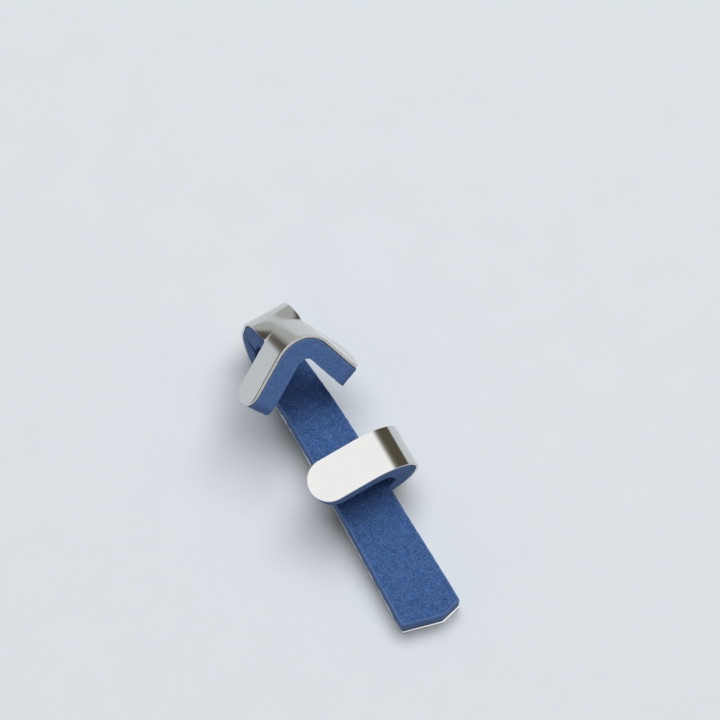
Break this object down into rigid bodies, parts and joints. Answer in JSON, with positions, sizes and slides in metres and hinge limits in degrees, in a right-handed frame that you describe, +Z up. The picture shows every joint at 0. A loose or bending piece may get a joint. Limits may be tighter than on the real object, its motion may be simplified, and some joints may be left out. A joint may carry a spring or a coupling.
{
  "type": "finger splint",
  "caption": "Foam-lined metal finger splint: a narrow strip bent into a fingertip hook with two folded wings, and a riveted curled band across the strip.",
  "frame": {"origin": "centre of the bounding box in plan, on the table the splint lies on", "axes": "+Y along the strip towards the fingertip hook, +Z up from the table, +X to the side where the band curls"},
  "size_m": [0.037, 0.1022, 0.0409],
  "materials": {
    "strip_metal": "satin",
    "strip_lining": "matte open-cell foam",
    "band_metal": "satin",
    "band_lining": "matte open-cell foam",
    "rivet_metal": "satin"
  },
  "bodies": {
    "root": {"strip": "strip_metal", "strip_foam": "strip_lining", "band": "band_metal", "band_foam": "band_lining", "rivet": "rivet_metal"}
  },
  "joints": []
}
